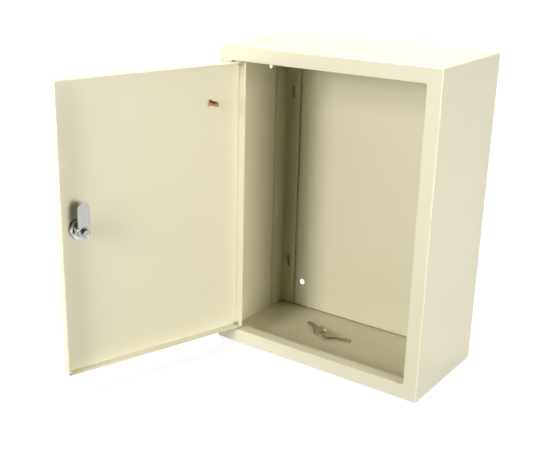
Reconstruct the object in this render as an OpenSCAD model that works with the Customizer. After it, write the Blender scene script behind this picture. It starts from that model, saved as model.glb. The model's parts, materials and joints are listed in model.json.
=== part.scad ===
// Wall-mount sheet-steel control cabinet: welded body, inset door on two hinge pins,
// key-operated cam lock and a loose pair of keys on a wire ring.
// Working axes: x to the right, y into the cabinet, z up, from the front bottom left corner.
// place() moves them so that the origin is the middle of the wall holes on the rear face.

/* [Body] */
// Overall width of the cabinet
box_w = 300; // [220:1:600]
// Overall height of the cabinet
box_h = 400; // [320:1:800]
// Overall depth of the cabinet
box_d = 155; // [120:1:300]
// Sheet thickness of the body
sheet = 1.2; // [1:0.1:2]
// Width of the front frame round the door opening
frame_w = 18.5; // [15:0.5:30]
// Depth of the lip turned back round the opening
lip_d = 16.5; // [15:0.5:24]
// Corner radius of the door opening
opening_r = 2.5; // [1:0.5:4]
// Outside bend radius along the front edges
bend_r = 1.8; // [1:0.1:3]
// Width of the weld tabs on the side walls
tab_w = 13; // [8:1:20]

/* [Wall and cable holes] */
// Diameter of the four wall-fixing holes
wall_hole_d = 8; // [5:0.5:10]
// Wall-fixing hole centre from the side of the cabinet
wall_hole_side = 37.5; // [32:0.5:60]
// Wall-fixing hole centre from the top or bottom
wall_hole_end = 40; // [20:1:80]
// Diameter of the cable hole in the left wall
cable_hole_d = 8; // [5:0.5:20]
// Cable hole centre from the rear face
cable_hole_rear = 42; // [40:1:60]
// Cable hole centre from the top
cable_hole_top = 40; // [20:1:80]

/* [Corner rails] */
// Width of the rail leg on the side wall
rail_side = 26; // [20:1:30]
// Width of the rail leg on the back panel
rail_back = 24; // [20:1:26]
// Gap behind the rail leg, which the heads hung in the keyholes need
rail_stand = 2; // [1:0.5:4]
// Thickness of the rails
rail_t = 1.5; // [1:0.1:2]
// Gap between a rail's end and the body
rail_end_gap = 2; // [1:0.5:6]
// Diameter of a keyhole's round head
keyhole_d = 9; // [7:0.5:10]
// Width of a keyhole's slot
keyhole_slot_w = 5; // [3:0.5:6]
// Distance from a keyhole's head down to its slot end
keyhole_drop = 11; // [8:0.5:16]
// Keyhole centre line from the side wall
keyhole_in = 14; // [10:0.5:16]
// Keyhole head centre from the top or bottom of the cabinet
keyhole_end = 75; // [40:1:120]

/* [Door] */
// Sheet thickness of the door
door_sheet = 1.2; // [1:0.1:2]
// Depth of the flanges round the door
door_depth = 13; // [11:0.5:14]
// Gap at each side of the door
door_gap_side = 2.5; // [2:0.1:4]
// Gap above the door
door_gap_top = 1.2; // [1:0.1:3]
// Gap below the door
door_gap_bottom = 3.3; // [2:0.1:5]
// Angle that the door stands open at rest
door_open = 107.5; // [0:0.5:115]

/* [Hinge] */
// Diameter of a hinge pin
pin_d = 4; // [3:0.1:4.8]
// Hinge pin centre from the door's edge
pin_edge = 5.5; // [4.5:0.1:7]
// Gap between a pin clip and the skin of the door
clip_gap = 0.3; // [0.2:0.05:0.6]
// Radial running clearance round a hinge pin
pin_clear = 0.08; // [0.05:0.01:0.1]
// Width of the rim of a hinge pin's head round the pin
pin_head_rim = 1; // [0.5:0.1:1.2]
// Thickness of a hinge pin's head
pin_head_t = 1.5; // [1:0.1:2.5]
// Length of pin past the door's flange
pin_end = 2.5; // [2:0.1:4]
// Wall of the hinge spacers
spacer_wall = 2; // [1:0.1:2.2]
// Width of the rim of a pin clip round the pin
clip_rim = 1; // [0.5:0.1:1.2]
// Thickness of the pin clips
clip_t = 0.8; // [0.5:0.1:1.2]

/* [Lock] */
// Lock centre from the free edge of the door
lock_edge = 26; // [20:0.5:32]
// Lock centre above the middle of the door
lock_rise = 2.5; // [-20:0.5:20]
// Diameter of the lock's threaded barrel
barrel_d = 18.5; // [16:0.5:20]
// Depth of each flat on the barrel
barrel_flat = 1.2; // [0.8:0.1:1.6]
// Width of the rim of the lock's front head round the barrel
lock_head_rim = 2.2; // [1.5:0.1:4]
// Thickness of the lock's front head
lock_head_t = 2.5; // [2:0.1:4]
// Wall of the lock nut from its thread to its flats
lock_nut_wall = 1.8; // [1.4:0.1:3]
// Thickness of the lock nut
lock_nut_t = 4.5; // [3:0.5:6]
// Width of the lock washer's ring
lock_washer_rim = 3.2; // [2:0.1:4]
// Thickness of the lock washer
lock_washer_t = 1; // [0.6:0.1:1.5]
// Wall of the barrel round the turning plug, behind its flats
barrel_wall = 2; // [1.6:0.1:2.6]
// Width of the rim of the plug's front collar round the plug
plug_collar_rim = 1.2; // [0.8:0.1:2]
// Radial running clearance round the plug
plug_clear = 0.06; // [0.03:0.01:0.1]
// Width across the plug's square end
plug_square = 7; // [6.5:0.1:8.4]

/* [Cam] */
// Distance from the lock centre to the cam's tip
cam_reach = 36; // [28:1:42]
// Width of the cam
cam_w = 16; // [13:0.5:18]
// Thickness of the cam
cam_t = 2; // [1.5:0.1:3]
// Gap between the frame's lip and the cam behind it
cam_gap = 0.8; // [0.5:0.1:2]
// Thread diameter of the cam screw
cam_screw_d = 5; // [4:0.5:6]
// Width across the cam screw's hexagon head
cam_screw_w = 8; // [7:0.5:10]

/* [Earth stud] */
// Diameter of the welded earth stud
stud_d = 6; // [4:1:8]
// Length of the earth stud
stud_l = 16; // [10:1:25]
// Earth stud from the hinge edge of the door
stud_edge = 45.5; // [30:0.5:80]
// Earth stud below the top of the door
stud_top = 48; // [30:1:100]

/* [Keys] */
// Distance from a key's ring hole to its tip
key_l = 38; // [32:1:46]
// Diameter of a key's bow
key_bow_d = 18; // [16:0.5:20]
// Width of a key's blade
key_blade_w = 7; // [6:0.1:7.2]
// Thickness of a key
key_t = 2; // [1.6:0.1:2.4]
// Diameter of the ring hole in a key
key_hole_d = 4.4; // [4.2:0.1:5]
// Metal behind a key's ring hole
key_rim = 1.8; // [1.5:0.1:2]
// Height that a key's bow is held off the floor by the ring
key_lift = 2.4; // [2.2:0.1:3]
// Mean radius of the key ring
ring_r = 6; // [5.5:0.1:8]
// Wire diameter of the key ring
ring_wire = 1.1; // [0.8:0.1:1.2]
// Key ring centre from the left of the cabinet
ring_x = 115.6; // [70:0.1:170]
// Key ring centre from the front of the cabinet
ring_y = 89.5; // [60:0.5:100]
// Direction of the key ring's plane
ring_turn = -27.7; // [-90:0.1:90]
// Direction in which the first key points
key_a_turn = 150; // [130:1:170]
// Direction in which the second key points
key_b_turn = 12.5; // [-30:0.5:30]

/* [Hidden] */
$fn = 96;

cream = [0.89, 0.86, 0.77];
zinc = [0.74, 0.75, 0.74];
chrome = [0.82, 0.83, 0.84];
copper = [0.72, 0.43, 0.27];
nickel = [0.55, 0.49, 0.38];
nylon = [0.90, 0.90, 0.86];

// Cuts run this far past the faces they open
over = 1;
// Clearance between parts that move past each other
slip = 0.3;
// Clearance of a fixed part in its hole
fixed_clear = 0.05;
// How far a spring clip bites into its pin
clip_bite = 0.05;

opening_w = box_w - 2 * frame_w;
opening_h = box_h - 2 * frame_w;
rear_inner = box_d - sheet;
// The mitre planes between the walls reach this far in from the outside
mitre = frame_w + opening_r;
tab_start = lip_d + 2 * sheet;
rail_rear = rear_inner - rail_stand;
tab_end = rail_rear - rail_side - rail_end_gap;

door_w = opening_w - 2 * door_gap_side;
door_z0 = frame_w + door_gap_bottom;
door_z1 = box_h - frame_w - door_gap_top;
door_h = door_z1 - door_z0;
// Hinge pin centre from the door's outer face
pin_face = door_sheet + pin_d / 2 + clip_rim + clip_gap;
pin_x = frame_w + door_gap_side + pin_edge;
pin_y = pin_face;
pin_hole_d = pin_d + 2 * pin_clear;
pin_head_d = pin_d + 2 * pin_head_rim;
spacer_d = pin_d + 2 * spacer_wall;
clip_d = pin_d + 2 * clip_rim;

lock_x = door_w - lock_edge;
lock_z = door_h / 2 + lock_rise;
cam_y = lip_d + cam_gap;
barrel_end = cam_y - slip;
barrel_flats = barrel_d - 2 * barrel_flat;
plug_d = barrel_flats - 2 * barrel_wall;
plug_collar_d = plug_d + 2 * plug_collar_rim;
lock_head_d = barrel_d + 2 * lock_head_rim;
lock_nut_w = barrel_d + 2 * lock_nut_wall;
lock_washer_d = barrel_d + 2 * lock_washer_rim;
cam_screw_l = 9;
cam_washer_d = 12;
cam_washer_t = 1;
keyway_h = key_blade_w + 0.6;
keyway_w = key_t + 0.3;
keyway_l = 22;

// The keys and their ring stand on the floor of the body
floor_z = sheet + slip;
key_mid = key_lift + key_t / 2;
ring_h = ring_r + ring_wire / 2;
ring_reach = sqrt(ring_r * ring_r - (ring_h - key_mid) * (ring_h - key_mid));
key_tilt = asin(key_lift / key_l);
bow_x = key_bow_d / 2 - key_hole_d / 2 - key_rim;
// Depth and number of the cuts along each edge of a key's blade
key_cut = 0.9;
key_cuts = 5;
key_cut_pitch = 3.6;

// Moves the working axes to the middle of the wall holes on the rear face
module place() {
    translate([-box_w / 2, -box_d, -box_h / 2]) children();
}

// Moves the closed door's own corner axes to the open door in the cabinet
module hang() {
    place()
        translate([pin_x, pin_y, door_z0])
            rotate([0, 0, -door_open])
                translate([-pin_edge, -pin_face, 0])
                    children();
}

// Moves to the lock's axis, with z pointing into the cabinet and y up
module at_lock() {
    hang()
        translate([lock_x, 0, lock_z])
            rotate([-90, 0, 0])
                rotate([0, 0, 180])
                    children();
}

// Extrudes a flat shape, drawn in x and z, from y0 towards the rear
module along_y(y0, length) {
    translate([0, y0 + length, 0])
        rotate([90, 0, 0])
            linear_extrude(length)
                children();
}

// A rectangle centred in the door opening's frame, with round corners
module opening_outline(grow) {
    r = opening_r + grow;
    x0 = frame_w - grow;
    x1 = box_w - frame_w + grow;
    z0 = frame_w - grow;
    z1 = box_h - frame_w + grow;
    translate([x0 + r, z0])
        square([x1 - x0 - 2 * r, z1 - z0]);
    translate([x0, z0 + r])
        square([x1 - x0, z1 - z0 - 2 * r]);
    for (x = [x0 + r, x1 - r], z = [z0 + r, z1 - r])
        translate([x, z])
            circle(r);
}

// What a bend takes off a square edge of the given length along z
module edge_round(length) {
    difference() {
        translate([-over, -over, -over])
            cube([bend_r + over, bend_r + over, length + 2 * over]);
        translate([bend_r, bend_r, -2 * over])
            cylinder(r = bend_r, h = length + 4 * over);
    }
}

// A pair of holes for hinge pins, one for each hand of door, through a lip or flange
module pin_holes(z) {
    for (x = [pin_x, box_w - pin_x])
        translate([x, pin_y, z - over])
            cylinder(d = pin_hole_d, h = sheet + 2 * over);
}

// The whole welded shell: four walls, the front frame and its lip
module shell() {
    difference() {
        union() {
            difference() {
                cube([box_w, box_d, box_h]);
                translate([sheet, sheet, sheet])
                    cube([box_w - 2 * sheet, box_d, box_h - 2 * sheet]);
            }
            along_y(0, lip_d) opening_outline(sheet);
        }
        along_y(-over, lip_d + 2 * over) opening_outline(0);
        edge_round(box_h);
        translate([box_w, 0, 0]) rotate([0, 0, 90]) edge_round(box_h);
        rotate([90, 0, 90]) edge_round(box_w);
        translate([0, 0, box_h]) rotate([0, 90, 0]) edge_round(box_w);
        pin_holes(frame_w - sheet);
        pin_holes(box_h - frame_w);
    }
}

// The part of the shell between two mitred corners, over the given outline
module wall(outline) {
    intersection() {
        shell();
        along_y(-over, box_d + 2 * over) polygon(outline);
    }
}

// Tabs at the foot and head of a side wall, spot-welded to the floor and the top
module tabs(x0) {
    for (z = [sheet, box_h - 2 * sheet])
        translate([x0, tab_start, z])
            cube([tab_w, tab_end - tab_start, sheet]);
}

module body_left() {
    color(cream) place() difference() {
        union() {
            wall([[0, 0], [mitre, mitre], [mitre, box_h - mitre], [0, box_h]]);
            tabs(0.5 * sheet);
        }
        translate([-over, box_d - cable_hole_rear, box_h - cable_hole_top])
            rotate([0, 90, 0])
                cylinder(d = cable_hole_d, h = sheet + 2 * over);
    }
}

module body_right() {
    color(cream) place() {
        wall([[box_w, 0], [box_w, box_h], [box_w - mitre, box_h - mitre],
              [box_w - mitre, mitre]]);
        tabs(box_w - 0.5 * sheet - tab_w);
    }
}

module body_top() {
    color(cream) place()
        wall([[0, box_h], [mitre, box_h - mitre], [box_w - mitre, box_h - mitre],
              [box_w, box_h]]);
}

module body_bottom() {
    color(cream) place()
        wall([[0, 0], [box_w, 0], [box_w - mitre, mitre], [mitre, mitre]]);
}

module back_panel() {
    color(cream) place() difference() {
        translate([sheet, rear_inner, sheet])
            cube([box_w - 2 * sheet, sheet, box_h - 2 * sheet]);
        for (x = [wall_hole_side, box_w - wall_hole_side])
            for (z = [wall_hole_end, box_h - wall_hole_end])
                translate([x, rear_inner - over, z])
                    rotate([-90, 0, 0])
                        cylinder(d = wall_hole_d, h = sheet + 2 * over);
    }
}

// A keyhole through a rail's rear leg: a round head with a slot below it
module keyhole() {
    rotate([-90, 0, 0]) {
        cylinder(d = keyhole_d, h = rail_t + 2 * over);
        translate([-keyhole_slot_w / 2, 0, 0])
            cube([keyhole_slot_w, keyhole_drop, rail_t + 2 * over]);
        translate([0, keyhole_drop, 0])
            cylinder(d = keyhole_slot_w, h = rail_t + 2 * over);
    }
}

// The left rail in the working axes; the right one is its mirror image
module corner_rail() {
    z0 = 2 * sheet + rail_end_gap;
    length = box_h - 2 * z0;
    difference() {
        translate([sheet, rail_rear - rail_side, z0])
            cube([rail_back, rail_side, length]);
        translate([sheet + rail_t, rail_rear - rail_side - over, z0 - over])
            cube([rail_back, rail_side - rail_t + over, length + 2 * over]);
        for (z = [keyhole_end, box_h - keyhole_end])
            translate([sheet + keyhole_in, rail_rear - rail_t - over, z])
                keyhole();
    }
}

module corner_rail_left() {
    color(cream) place() corner_rail();
}

module corner_rail_right() {
    color(cream) place()
        translate([box_w, 0, 0])
            mirror([1, 0, 0])
                corner_rail();
}

// A hinge's parts stand on its lip, with z towards the door: length is lip to door
module hinge_pin(gap) {
    translate([0, 0, -sheet - pin_head_t])
        cylinder(d = pin_head_d, h = pin_head_t);
    translate([0, 0, -sheet - pin_head_t / 2])
        cylinder(d = pin_d, h = pin_head_t / 2 + sheet + gap + door_sheet + pin_end);
}

module hinge_spacer(gap) {
    difference() {
        cylinder(d = spacer_d, h = gap - slip);
        translate([0, 0, -over])
            cylinder(d = pin_d + 2 * fixed_clear, h = gap + 2 * over);
    }
}

module hinge_clip(gap) {
    translate([0, 0, gap + door_sheet + slip])
        difference() {
            cylinder(d = clip_d, h = clip_t);
            translate([0, 0, -over])
                cylinder(d = pin_d - 2 * clip_bite, h = clip_t + 2 * over);
        }
}

module at_bottom_hinge() {
    place() translate([pin_x, pin_y, frame_w]) children();
}

module at_top_hinge() {
    place() translate([pin_x, pin_y, box_h - frame_w]) rotate([180, 0, 0]) children();
}

module hinge_pin_bottom() {
    color(zinc) at_bottom_hinge() hinge_pin(door_gap_bottom);
}

module hinge_spacer_bottom() {
    color(nylon) at_bottom_hinge() hinge_spacer(door_gap_bottom);
}

module hinge_clip_bottom() {
    color(zinc) at_bottom_hinge() hinge_clip(door_gap_bottom);
}

module hinge_pin_top() {
    color(zinc) at_top_hinge() hinge_pin(door_gap_top);
}

module hinge_spacer_top() {
    color(nylon) at_top_hinge() hinge_spacer(door_gap_top);
}

module hinge_clip_top() {
    color(zinc) at_top_hinge() hinge_clip(door_gap_top);
}

// A round bar with two flats, as the lock barrel and the hole it fits
module flatted(d, flats, length) {
    intersection() {
        cylinder(d = d, h = length);
        translate([-flats / 2, -d, -over])
            cube([flats, 2 * d, length + 2 * over]);
    }
}

module door_panel() {
    color(cream) difference() {
        hang() difference() {
            cube([door_w, door_depth, door_h]);
            translate([door_sheet, door_sheet, door_sheet])
                cube([door_w - 2 * door_sheet, door_depth, door_h - 2 * door_sheet]);
            for (x = [pin_edge, door_w - pin_edge])
                for (z = [0, door_h - door_sheet])
                    translate([x, pin_face, z - over])
                        cylinder(d = pin_hole_d, h = door_sheet + 2 * over);
        }
        at_lock() translate([0, 0, -over])
            flatted(barrel_d + 2 * fixed_clear, barrel_flats + 2 * fixed_clear,
                    door_sheet + 2 * over);
    }
}

module door_earth_stud() {
    weld_d = stud_d + 1.5;
    weld_t = 0.8;
    color(copper) hang()
        translate([stud_edge, door_sheet, door_h - stud_top])
            rotate([-90, 0, 0]) {
                cylinder(d = stud_d, h = stud_l);
                cylinder(d = weld_d, h = weld_t);
            }
}

module lock_housing() {
    collar_t = lock_head_t / 2;
    color(chrome) at_lock() difference() {
        union() {
            translate([0, 0, -lock_head_t])
                cylinder(d = lock_head_d, h = lock_head_t);
            translate([0, 0, -lock_head_t / 2])
                flatted(barrel_d, barrel_flats, lock_head_t / 2 + barrel_end);
        }
        translate([0, 0, -lock_head_t - over])
            cylinder(d = plug_d + 2 * plug_clear, h = lock_head_t + barrel_end + 2 * over);
        translate([0, 0, -lock_head_t - over])
            cylinder(d = plug_collar_d + 2 * plug_clear, h = collar_t + slip + over);
    }
}

module lock_washer() {
    color(zinc) at_lock() translate([0, 0, door_sheet]) difference() {
        cylinder(d = lock_washer_d, h = lock_washer_t);
        translate([0, 0, -over])
            cylinder(d = barrel_d + 2 * fixed_clear, h = lock_washer_t + 2 * over);
    }
}

module lock_nut() {
    corner_d = lock_nut_w / cos(30);
    color(chrome) at_lock() translate([0, 0, door_sheet + lock_washer_t]) difference() {
        cylinder(d = corner_d, h = lock_nut_t, $fn = 6);
        translate([0, 0, -over])
            cylinder(d = barrel_d + 2 * fixed_clear, h = lock_nut_t + 2 * over);
    }
}

module lock_plug() {
    collar_t = lock_head_t / 2;
    color(chrome) at_lock() difference() {
        union() {
            translate([0, 0, -lock_head_t])
                cylinder(d = plug_collar_d, h = collar_t);
            translate([0, 0, -lock_head_t])
                cylinder(d = plug_d, h = lock_head_t + cam_y);
            translate([-plug_square / 2, -plug_square / 2, cam_y - over])
                cube([plug_square, plug_square, cam_t + over]);
        }
        translate([-keyway_w / 2, -keyway_h / 2, -lock_head_t - over])
            cube([keyway_w, keyway_h, min(keyway_l, cam_y - cam_screw_l + cam_t) + over]);
        translate([0, 0, cam_y + cam_t - cam_screw_l])
            cylinder(d = cam_screw_d, h = cam_screw_l + over);
    }
}

module lock_cam() {
    hole = plug_square + 2 * fixed_clear;
    color(zinc) at_lock() translate([0, 0, cam_y]) difference() {
        union() {
            cylinder(d = cam_w, h = cam_t);
            translate([-cam_w / 2, 0, 0])
                cube([cam_w, cam_reach - cam_w / 2, cam_t]);
            translate([0, cam_reach - cam_w / 2, 0])
                cylinder(d = cam_w, h = cam_t);
        }
        translate([-hole / 2, -hole / 2, -over])
            cube([hole, hole, cam_t + 2 * over]);
    }
}

module cam_washer() {
    color(zinc) at_lock() translate([0, 0, cam_y + cam_t]) difference() {
        cylinder(d = cam_washer_d, h = cam_washer_t);
        translate([0, 0, -over])
            cylinder(d = cam_screw_d + 2 * fixed_clear, h = cam_washer_t + 2 * over);
    }
}

module cam_screw() {
    head_t = 3.5;
    color(zinc) at_lock() translate([0, 0, cam_y + cam_t]) {
        translate([0, 0, cam_washer_t])
            cylinder(d = cam_screw_w / cos(30), h = head_t, $fn = 6);
        translate([0, 0, -cam_screw_l + 2 * over])
            cylinder(d = cam_screw_d - 2 * fixed_clear,
                     h = cam_screw_l + cam_washer_t);
    }
}

// A flat key with its ring hole at the origin, pointing along x and lying on z = 0
module key() {
    blade_x = bow_x + key_bow_d / 2 - over;
    difference() {
        union() {
            translate([bow_x, 0, 0])
                cylinder(d = key_bow_d, h = key_t);
            translate([blade_x, -key_blade_w / 2, 0])
                cube([key_l - key_blade_w / 2 - blade_x, key_blade_w, key_t]);
            translate([key_l - key_blade_w / 2, 0, 0])
                cylinder(d = key_blade_w, h = key_t);
        }
        translate([0, 0, -over])
            cylinder(d = key_hole_d, h = key_t + 2 * over);
        for (i = [0 : key_cuts - 1])
            for (side = [-1, 1])
                translate([key_l - key_blade_w / 2 - i * key_cut_pitch,
                           side * key_blade_w / 2, -over])
                    rotate([0, 0, 45])
                        translate([-key_cut / 2, -key_cut / 2, 0])
                            cube([key_cut, key_cut, key_t + 2 * over]);
    }
}

// Hangs a key on the ring, on the side given by end, and turns it to its direction
module key_on_ring(end, turn) {
    place()
        translate([ring_x + end * ring_reach * cos(ring_turn),
                   ring_y + end * ring_reach * sin(ring_turn), floor_z + key_lift])
            rotate([0, key_tilt, turn])
                key();
}

module key_ring() {
    color(zinc) place()
        translate([ring_x, ring_y, floor_z + ring_h])
            rotate([90, 0, ring_turn])
                rotate_extrude()
                    translate([ring_r, 0])
                        circle(d = ring_wire, $fn = 32);
}

module key_a() {
    color(nickel) key_on_ring(-1, key_a_turn);
}

module key_b() {
    color(nickel) key_on_ring(1, key_b_turn);
}

body_left();
body_right();
body_top();
body_bottom();
back_panel();
corner_rail_left();
corner_rail_right();
hinge_pin_top();
hinge_spacer_top();
hinge_clip_top();
hinge_pin_bottom();
hinge_spacer_bottom();
hinge_clip_bottom();
door_panel();
door_earth_stud();
lock_housing();
lock_washer();
lock_nut();
lock_plug();
lock_cam();
cam_washer();
cam_screw();
key_ring();
key_a();
key_b();
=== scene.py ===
import contextlib
import json
import math

import bmesh
import bpy
from mathutils import Matrix, Vector


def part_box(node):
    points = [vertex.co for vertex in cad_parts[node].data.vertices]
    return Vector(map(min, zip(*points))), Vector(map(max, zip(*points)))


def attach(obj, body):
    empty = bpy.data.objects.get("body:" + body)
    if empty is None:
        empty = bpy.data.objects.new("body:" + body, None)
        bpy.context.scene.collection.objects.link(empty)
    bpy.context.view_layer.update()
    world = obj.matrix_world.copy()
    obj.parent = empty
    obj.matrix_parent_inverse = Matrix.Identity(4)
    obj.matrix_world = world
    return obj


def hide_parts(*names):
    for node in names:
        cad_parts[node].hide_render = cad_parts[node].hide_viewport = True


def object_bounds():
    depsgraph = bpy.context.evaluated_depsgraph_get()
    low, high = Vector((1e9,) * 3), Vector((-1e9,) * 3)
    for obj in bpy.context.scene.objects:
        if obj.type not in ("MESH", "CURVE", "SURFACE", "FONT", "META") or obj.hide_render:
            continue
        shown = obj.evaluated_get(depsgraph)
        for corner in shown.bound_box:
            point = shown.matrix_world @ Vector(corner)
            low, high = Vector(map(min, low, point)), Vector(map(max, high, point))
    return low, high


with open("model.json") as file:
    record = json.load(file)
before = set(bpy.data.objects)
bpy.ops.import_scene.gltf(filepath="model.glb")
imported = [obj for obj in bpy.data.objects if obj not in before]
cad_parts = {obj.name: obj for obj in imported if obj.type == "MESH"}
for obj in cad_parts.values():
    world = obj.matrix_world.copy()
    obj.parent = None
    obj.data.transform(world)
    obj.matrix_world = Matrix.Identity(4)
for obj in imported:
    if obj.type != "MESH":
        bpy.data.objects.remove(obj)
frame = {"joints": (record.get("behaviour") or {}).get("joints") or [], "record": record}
cad_low, cad_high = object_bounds()
joints = {joint["name"]: joint for joint in frame["joints"]}
mounts = {mount["name"]: mount for mount in frame["record"]["mounts"]}


# Camera. It stands in front of the cabinet, to the right and a little above it, and looks
# down on the open door. The view is shifted a little to the right of the lens's axis.
CAMERA_PLACE = Vector((0.54848, -1.05423, 0.35014))
CAMERA_TURN = math.radians(37.739)
CAMERA_TILT = math.radians(71.15)
CAMERA_ROLL = math.radians(0.388)
LENS, SENSOR = 59.146, 36
VIEW_SHIFT = 0.1
NEAREST = 0.01

camera_data = bpy.data.cameras.new("bench_camera")
camera = bpy.data.objects.new("bench_camera", camera_data)
bpy.context.scene.collection.objects.link(camera)
bpy.context.scene.camera = camera
camera_data.lens = LENS
camera_data.sensor_width = SENSOR
camera_data.shift_x = VIEW_SHIFT
camera_data.clip_start = NEAREST
camera_data.dof.use_dof = False
camera.matrix_world = (Matrix.Translation(CAMERA_PLACE)
                       @ Matrix.Rotation(CAMERA_TURN, 4, "Z")
                       @ Matrix.Rotation(CAMERA_TILT, 4, "X")
                       @ Matrix.Rotation(CAMERA_ROLL, 4, "Z"))


# Studio. A pale bench that glows a little lies under a broad overhead light. Soft boxes in
# front reach into the cabinet, two on the right light the inside of the door, and one low
# on the left and one behind soften the sides that the others miss.
SKY_PLACE, SKY_POWER, SKY_SPREAD = (-0.3, 0.6, 2.0), 3.6, math.radians(50)
MIDDLE, INSIDE_OF_DOOR = (0, 0, 0), (-0.15, -0.2, 0)
SOFT_BOXES = (
    ("front_box_left", (-0.45, -2.2, 0.25), MIDDLE, 0.6, 1.1, 7.4),
    ("front_box_high", (-0.35, -2.1, 0.75), MIDDLE, 0.6, 0.8, 22.5),
    ("front_box_middle", (-0.1, -2.2, 0.3), MIDDLE, 0.6, 0.8, 10.8),
    ("right_box_near", (2.0, -0.85, 0.2), INSIDE_OF_DOOR, 0.7, 1.0, 12.5),
    ("right_box_far", (2.1, -0.6, 0.2), INSIDE_OF_DOOR, 0.7, 1.0, 32.0),
    ("left_card", (-1.7, -1.0, -0.05), MIDDLE, 0.3, 0.3, 15.0),
    ("rear_box", (-0.4, 0.9, 1.6), MIDDLE, 0.8, 0.8, 34.0),
)
AIR_LIGHT, AIR_SEEN = 0.02, 1.0
BENCH_SIZE, BENCH_BELOW = 60, 0.0002
BENCH_DULL, BENCH_PALE = (0.25, 0.25, 0.25, 1), (0.28, 0.28, 0.28, 1)


class Socket:
    """An output of a shader node, so that shader maths reads as plain arithmetic."""

    def __init__(self, finish, output):
        self.finish = finish
        self.output = output

    def math(self, operation, other):
        return self.finish.node("ShaderNodeMath", {0: self, 1: other}, operation=operation)

    def __add__(self, other):
        return self.math("ADD", other)

    def __mul__(self, other):
        return self.math("MULTIPLY", other)

    def between(self, low, high):
        """The same pattern, taken from the range 0 to 1 into another one."""
        return self * (high - low) + low


class Finish:
    """A material, with the one method that adds any node to it."""

    def __init__(self, name, **constants):
        self.material = bpy.data.materials.new(name)
        self.material.use_nodes = True
        self.tree = self.material.node_tree
        self.shader = self.tree.nodes["Principled BSDF"]
        self.feed(self.shader, {key.replace("_", " "): constants[key] for key in constants})

    def feed(self, node, inputs):
        for key, value in inputs.items():
            if isinstance(value, Socket):
                self.tree.links.new(value.output, node.inputs[key])
            else:
                node.inputs[key].default_value = value

    def node(self, kind, inputs, output=0, stops=(), **settings):
        node = self.tree.nodes.new(kind)
        for key, value in settings.items():
            setattr(node, key, value)
        for index, (place, grey) in enumerate(stops):
            elements = node.color_ramp.elements
            stop = elements[index] if index < 2 else elements.new(place)
            stop.position = place
            stop.color = (grey, grey, grey, 1)
        self.feed(node, inputs)
        return Socket(self, node.outputs[output])

    def noise(self, scale, detail=2, stretch=(1, 1, 1)):
        spot = self.node("ShaderNodeTexCoord", {}, output="Object")
        spot = self.node("ShaderNodeMapping", {"Vector": spot, "Scale": stretch})
        return self.node("ShaderNodeTexNoise", {"Vector": spot, "Scale": scale, "Detail": detail})

    def ramp(self, value, *stops):
        return self.node("ShaderNodeValToRGB", {0: value}, stops=stops)

    def mix(self, share, first, second):
        return self.node("ShaderNodeMix", {0: share, 6: first, 7: second}, output=2,
                         data_type="RGBA")

    def bump(self, height, distance, strength=1):
        return self.node("ShaderNodeBump", {"Height": height, "Distance": distance,
                                            "Strength": strength})

    def wear(self, piece):
        piece.data.materials.clear()
        piece.data.materials.append(self.material)


def lamp(name, kind, place, target, watts, **shape):
    data = bpy.data.lights.new(name, kind)
    data.energy = watts
    for key, value in shape.items():
        setattr(data, key, value)
    light = bpy.data.objects.new(name, data)
    bpy.context.scene.collection.objects.link(light)
    aim = (Vector(target) - Vector(place)).to_track_quat("-Z", "Y")
    light.matrix_world = Matrix.Translation(place) @ aim.to_matrix().to_4x4()


lamp("overhead_sky", "SUN", SKY_PLACE, MIDDLE, SKY_POWER, angle=SKY_SPREAD)
for name, place, target, width, height, watts in SOFT_BOXES:
    lamp(name, "AREA", place, target, watts, shape="RECTANGLE", size=width, size_y=height)

world = bpy.data.worlds.new("studio_air")
bpy.context.scene.world = world
world.use_nodes = True
air = world.node_tree
background = air.nodes["Background"]
background.inputs["Color"].default_value = (1, 1, 1, 1)
seen = air.nodes.new("ShaderNodeLightPath")
strength = air.nodes.new("ShaderNodeMapRange")
strength.inputs["To Min"].default_value = AIR_LIGHT
strength.inputs["To Max"].default_value = AIR_SEEN
air.links.new(seen.outputs["Is Camera Ray"], strength.inputs["Value"])
air.links.new(strength.outputs["Result"], background.inputs["Strength"])
bpy.context.scene.view_settings.view_transform = "Standard"

bpy.ops.object.select_all(action="DESELECT")
bpy.ops.mesh.primitive_plane_add(size=BENCH_SIZE, location=(0, 0, cad_low.z - BENCH_BELOW))
bench = bpy.context.object
bench.name = "bench"
bench.visible_diffuse = False
white_board = Finish("white_board", Roughness=0.7, Emission_Strength=0.75)
white_board.feed(white_board.shader, {
    "Base Color": white_board.mix(white_board.noise(scale=3), BENCH_DULL, BENCH_PALE)})
white_board.wear(bench)


# Body. The walls, the front frame and the lip turned back round the door opening are one
# sheet of 1.2 mm steel, notched, folded, mitred and powder coated cream. Weld tabs lie
# along the floor and the top, and the lip has pin holes for a door of either hand.
MM = 0.001
BODY_WIDE, BODY_DEEP, BODY_HIGH = 300, 155, 400
SHEET = 1.2
FRAME_WIDE = 18.5
LIP_DEEP = 16.5
FOLD = 1.8
LIP_FOLD = 1.4
OPENING_CORNER = 2.5
PIN_HOLE = 2.08
PIN_ACROSS, PIN_BACK = 26.5, 4.5
TAB_WIDE, TAB_START, TAB_END = 13, 18.9, 123.8
EASE, TAB_EASE = 0.2, 0.35
CREASE, EASED_CREASE, SHELL_CREASE = 38, 40, 50
NEAR, OVERSHOOT = 0.1, 1
FACING = 0.9
BODY_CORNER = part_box("body_left")[0]
CREAM_DULL, CREAM_BRIGHT = (0.675, 0.638, 0.460, 1), (0.712, 0.675, 0.495, 1)
SPECK = (0.55, 0.50, 0.36, 1)


def cabinet(across, back, up):
    """A point, given in millimetres from the front bottom left corner of the body."""
    return BODY_CORNER + Vector((across, back, up)) * MM


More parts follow.
